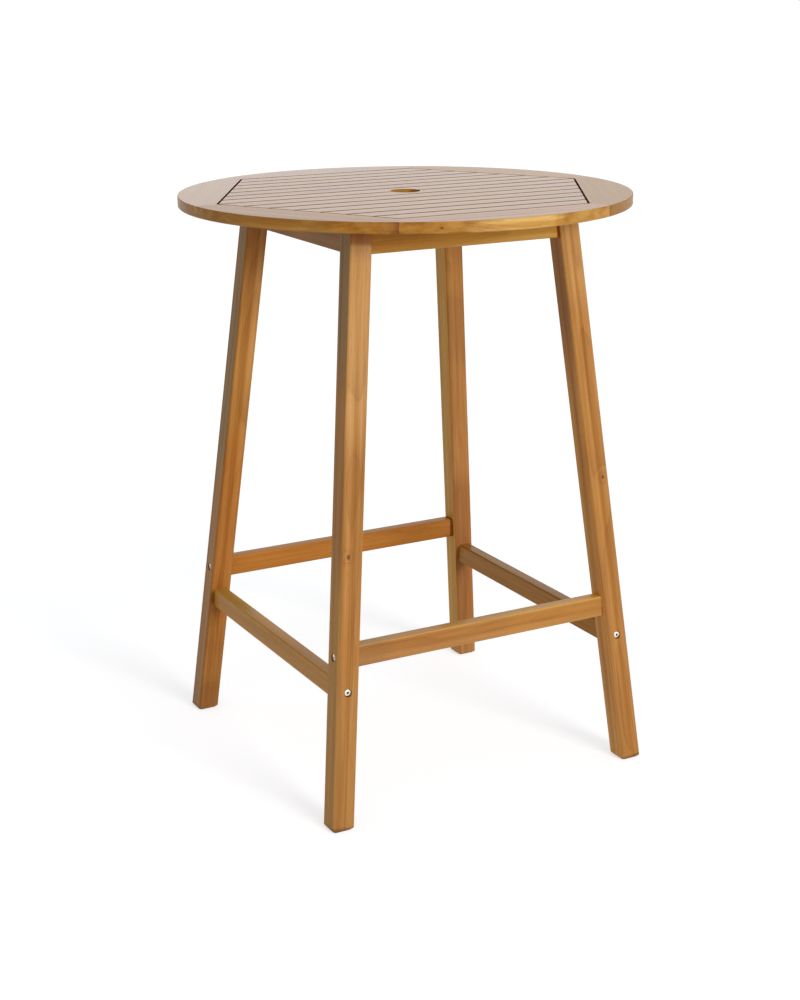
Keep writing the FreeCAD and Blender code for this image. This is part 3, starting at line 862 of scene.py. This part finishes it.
WEAR_WAVES = (900.0, 900.0, 900.0)
WEAR_SHARE = 0.3
WEAR_LEVEL = 0.8
WEAR_ROUGHNESS = 0.15

# Shank radius and head length of a stretcher bolt, as shares of its head's radius.
SHANK_SHARE = 6 / 12
HEAD_SHARE = 10 / 12

# The socket's mouth: how wide its bevel is, and how far that runs out from a hexagon to a circle.
SOCKET_EASE = 0.0003
SOCKET_ROUND = 0.4

BEVEL_SHOULDER = 0.3
CLOSED_RADIUS = 0.00001
SHARP_ANGLE = math.radians(35)


def plated(name, roughness, level=1.0):
    """Zinc plate, brushed a little by handling."""
    settings = bpy.context.scene.bar_table_finishes
    zinc = [level * part for part in settings.zinc]
    finish = Finish(name)
    where = finish.node("ShaderNodeTexCoord", output="Object")
    wear = finish.noise(finish.scaled(where, WEAR_WAVES), detail=3.0)
    return finish.surface(
        Base_Color=finish.mixed(wear * WEAR_SHARE, rgb(zinc), rgb(zinc, WEAR_LEVEL)),
        Metallic=1.0,
        Roughness=roughness + (wear - 0.5) * WEAR_ROUGHNESS,
    )


def bolt_lines():
    """Middle of the head's face, direction, head radius and length of each stretcher bolt."""
    points = node_points("stretcher_bolts")
    middle_height = (points[:, 2].min() + points[:, 2].max()) / 2
    lines = []
    for upper in (True, False):
        level = points[(points[:, 2] > middle_height) == upper]
        along = 0 if upper else 1
        for x_side in (-1, 1):
            for y_side in (-1, 1):
                own = level[(level[:, 0] * x_side > 0) & (level[:, 1] * y_side > 0)]
                low, high = own.min(axis=0), own.max(axis=0)
                side = x_side if along == 0 else y_side
                head = (low + high) / 2
                head[along] = high[along] if side > 0 else low[along]
                direction = np.zeros(3)
                direction[along] = -side
                lines.append((head, direction, (high[2] - low[2]) / 2, high[along] - low[along]))
    return lines


def lathe(profile, steps=48):
    """Grid of a turned shape: each profile row (depth, flat radius, round share) is a ring.

    A ring's point at angle t is depth along the axis and radius * (share + (1 - share) * h(t)) away
    from it, where h(t) = 1 / cos(t folded into 60 degrees) makes a hexagon of that apothem.
    """
    turn = np.linspace(0, 2 * np.pi, steps, endpoint=False)
    sixth = np.pi / 3
    folded = (turn + sixth / 2) % sixth - sixth / 2
    hexagon = 1 / np.cos(folded)
    rows = np.array(profile)
    depth = np.repeat(rows[:, 0:1], steps, axis=1)
    radius = rows[:, 1:2] * (rows[:, 2:3] + (1 - rows[:, 2:3]) * hexagon)
    return np.stack([radius * np.cos(turn), radius * np.sin(turn), depth], axis=-1)


def grid_faces(rings, steps, first):
    """Quads between rings that close on themselves, with point numbers from first."""
    row = np.arange(rings - 1)[:, None] * steps
    here = np.arange(steps)[None, :]
    beside = (here + 1) % steps
    after = row + steps
    corners = np.stack([row + here, row + beside, after + beside, after + here], axis=-1)
    return first + corners.reshape(-1, 4)


def turned_group(name, lines, profile_of, materials, inner_rings, replaced):
    """One object holding a turned piece on each line (head, direction, head radius, length).

    The first rings of a profile, as many as inner_rings, get the second material.
    """
    points, faces, inner, count = [], [], [], 0
    for head, direction, head_radius, length in lines:
        grid = lathe(profile_of(head_radius, length))
        axis = Vector(direction)
        side = axis.orthogonal().normalized()
        basis = np.array([side, axis.cross(side), axis])
        placed = grid.reshape(-1, 3) @ basis + np.array(head)
        points.append(placed)
        faces.append(grid_faces(grid.shape[0], grid.shape[1], count))
        inner.append(np.arange(len(faces[-1])) < inner_rings * grid.shape[1])
        count += len(placed)
    mesh = bpy.data.meshes.new(name)
    mesh.from_pydata(np.concatenate(points).tolist(), [], np.concatenate(faces).tolist())
    for material in materials:
        mesh.materials.append(material)
    mesh.polygons.foreach_set("material_index", np.concatenate(inner).astype(np.int32))
    mesh.shade_smooth()
    mesh.set_sharp_from_angle(angle=SHARP_ANGLE)
    piece = bpy.data.objects.new(name, mesh)
    bpy.context.scene.collection.objects.link(piece)
    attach(piece, BODY)
    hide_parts(replaced)


class BARTABLE_OT_bolts(bpy.types.Operator):
    """Turn the eight socket-headed stretcher bolts"""

    bl_idname = "bartable.bolts"
    bl_label = "Stretcher bolts"

    def execute(self, context):
        sizes = context.scene.bar_table_bolts
        apothem = sizes.socket_width / 2
        ease = sizes.head_ease
        shoulder = ease * BEVEL_SHOULDER
        socket_rings = 2

        def profile(head_radius, length):
            shank = head_radius * SHANK_SHARE
            head_length = head_radius * HEAD_SHARE
            return [
                (sizes.socket_depth, CLOSED_RADIUS, 0),
                (sizes.socket_depth, apothem, 0),
                (SOCKET_EASE, apothem, 0),
                (0, apothem + SOCKET_EASE, SOCKET_ROUND),
                (0, head_radius - ease, 1),
                (shoulder, head_radius - shoulder, 1),
                (ease, head_radius, 1),
                (head_length, head_radius, 1),
                (head_length, shank, 1),
                (length - ease, shank, 1),
                (length, shank - ease, 1),
                (length, CLOSED_RADIUS, 1),
            ]

        materials = (
            plated("bright_zinc_plate", roughness=0.28),
            plated("socket_shadow", roughness=0.6, level=0.12),
        )
        turned_group(
            "socket_bolts",
            bolt_lines(),
            profile,
            materials,
            socket_rings,
            replaced="stretcher_bolts",
        )
        return {"FINISHED"}


class BARTABLE_OT_hardware(bpy.types.Operator):
    """Finish the barrel nuts, screws, hanger bolts, washers and nuts"""

    bl_idname = "bartable.hardware"
    bl_label = "Hidden hardware"

    def execute(self, context):
        paint("barrel_nuts", plated("barrel_zinc_plate", roughness=0.35))
        dull = plated("plain_zinc_plate", roughness=0.45)
        for name in ("batten_screws", "plate_screws", "top_screws", "block_screws",
                     "hanger_bolts", "hanger_washers", "hanger_nuts"):
            paint(name, dull)
        return {"FINISHED"}


# Studio

FLOOR_HALF = 12.0
FLOOR_PAINT = (0.9, 0.9, 0.9)
FLOOR_TINT = (1.0, 1.02, 1.045)


def bearing(azimuth, elevation):
    """Unit vector at an azimuth from +X and an elevation above the floor."""
    level = math.cos(elevation)
    return Vector((math.cos(azimuth) * level, math.sin(azimuth) * level, math.sin(elevation)))


def studio_floor(context):
    """Wide pale floor, a flat square that comes out just white where no shadow falls."""
    studio = context.scene.bar_table_studio
    corners = np.array([(-1, -1, 0), (1, -1, 0), (1, 1, 0), (-1, 1, 0)]) * FLOOR_HALF
    mesh = bpy.data.meshes.new("floor")
    mesh.from_pydata(corners.tolist(), [], [(0, 1, 2, 3)])
    floor = bpy.data.objects.new("floor", mesh)
    context.scene.collection.objects.link(floor)
    finish = Finish("studio_floor")
    paths = finish.node("ShaderNodeLightPath", output="Is Camera Ray")
    glossy = finish.node("ShaderNodeLightPath", output="Is Glossy Ray")
    through = finish.node("ShaderNodeLightPath", output="Is Transmission Ray")
    own = finish.node("ShaderNodeBsdfDiffuse", inputs={"Color": rgb(FLOOR_PAINT)})
    seen = (paths + glossy + through) * studio.floor_glow
    glow = finish.node("ShaderNodeEmission", inputs={"Color": rgb(FLOOR_TINT), "Strength": seen})
    shader = finish.node("ShaderNodeAddShader", inputs={0: own, 1: glow})
    finish.node("ShaderNodeOutputMaterial", inputs={"Surface": shader})
    mesh.materials.append(finish.material)


def studio_world(context):
    """White surroundings: a strength of 1 where they are seen or mirrored, less as light."""
    studio = context.scene.bar_table_studio
    world = bpy.data.worlds.new("studio")
    world.use_nodes = True
    context.scene.world = world
    tree = world.node_tree
    background = tree.nodes["Background"]
    path = tree.nodes.new("ShaderNodeLightPath")
    seen = tree.nodes.new("ShaderNodeMath")
    seen.operation = "MAXIMUM"
    tree.links.new(path.outputs["Is Camera Ray"], seen.inputs[0])
    tree.links.new(path.outputs["Is Glossy Ray"], seen.inputs[1])
    strength = tree.nodes.new("ShaderNodeMapRange")
    strength.inputs["To Min"].default_value = studio.ambient
    strength.inputs["To Max"].default_value = 1.0
    tree.links.new(seen.outputs[0], strength.inputs["Value"])
    tree.links.new(strength.outputs[0], background.inputs["Strength"])
    background.inputs["Color"].default_value = (1, 1, 1, 1)


def studio_key(context):
    """Broad soft lamp, so far off that the floor is lit evenly."""
    studio = context.scene.bar_table_studio
    data = bpy.data.lights.new("key", "SUN")
    data.energy = studio.key_strength
    data.angle = studio.key_breadth
    light = bpy.data.objects.new("key", data)
    toward = bearing(studio.key_azimuth, studio.key_elevation)
    light.rotation_euler = toward.to_track_quat("Z", "Y").to_euler()
    context.scene.collection.objects.link(light)


def studio_camera(context):
    """Camera at the photograph's viewing angle."""
    studio = context.scene.bar_table_studio
    turn, roll = studio.camera_azimuth, studio.camera_roll
    back = bearing(turn - math.pi / 2, studio.camera_elevation)
    level = bearing(turn, 0)
    raised = back.cross(level)
    right = level * math.cos(roll) + raised * math.sin(roll)
    up = raised * math.cos(roll) - level * math.sin(roll)
    aim = studio.aim
    place = Vector((0, 0, aim[2])) + back * studio.camera_distance + right * aim[0] + up * aim[1]
    data = bpy.data.cameras.new("camera")
    data.lens = studio.lens
    data.sensor_width = 36.0
    camera = bpy.data.objects.new("camera", data)
    turned = Matrix((right, up, back)).transposed().to_4x4()
    camera.matrix_world = Matrix.Translation(place) @ turned
    context.scene.collection.objects.link(camera)
    context.scene.camera = camera


class BARTABLE_OT_studio(bpy.types.Operator):
    """Set up the floor, surroundings, lamp and camera"""

    bl_idname = "bartable.studio"
    bl_label = "Studio"

    def execute(self, context):
        studio_floor(context)
        studio_world(context)
        studio_key(context)
        studio_camera(context)
        context.scene.view_settings.view_transform = "Standard"
        return {"FINISHED"}


class BARTABLE_PT_pieces(bpy.types.Panel):
    """The table's pieces, one button each"""

    bl_label = "Bar table"
    bl_idname = "BARTABLE_PT_pieces"
    bl_space_type = "VIEW_3D"
    bl_region_type = "UI"
    bl_category = "Bar table"

    def draw(self, context):
        for operator in OPERATORS:
            self.layout.operator(operator.bl_idname)


SETTINGS = {
    "bar_table_finishes": TableFinishes,
    "bar_table_bolts": TableBolts,
    "bar_table_studio": TableStudio,
}
OPERATORS = (
    BARTABLE_OT_slats,
    BARTABLE_OT_rim,
    BARTABLE_OT_legs,
    BARTABLE_OT_rails,
    BARTABLE_OT_inner_wood,
    BARTABLE_OT_bolts,
    BARTABLE_OT_hardware,
    BARTABLE_OT_studio,
)


def register():
    """Register the settings, the operators and the panel."""
    for name, group in SETTINGS.items():
        bpy.utils.register_class(group)
        setattr(bpy.types.Scene, name, bpy.props.PointerProperty(type=group))
    for operator in OPERATORS:
        bpy.utils.register_class(operator)
    bpy.utils.register_class(BARTABLE_PT_pieces)


def unregister():
    """Take away what register added."""
    bpy.utils.unregister_class(BARTABLE_PT_pieces)
    for operator in reversed(OPERATORS):
        bpy.utils.unregister_class(operator)
    for name, group in SETTINGS.items():
        delattr(bpy.types.Scene, name)
        bpy.utils.unregister_class(group)


def main():
    """Register the settings, then dress the table and set up the studio."""
    register()
    for operator in OPERATORS:
        area, action = operator.bl_idname.split(".")
        getattr(getattr(bpy.ops, area), action)()


if __name__ == "__main__":
    main()
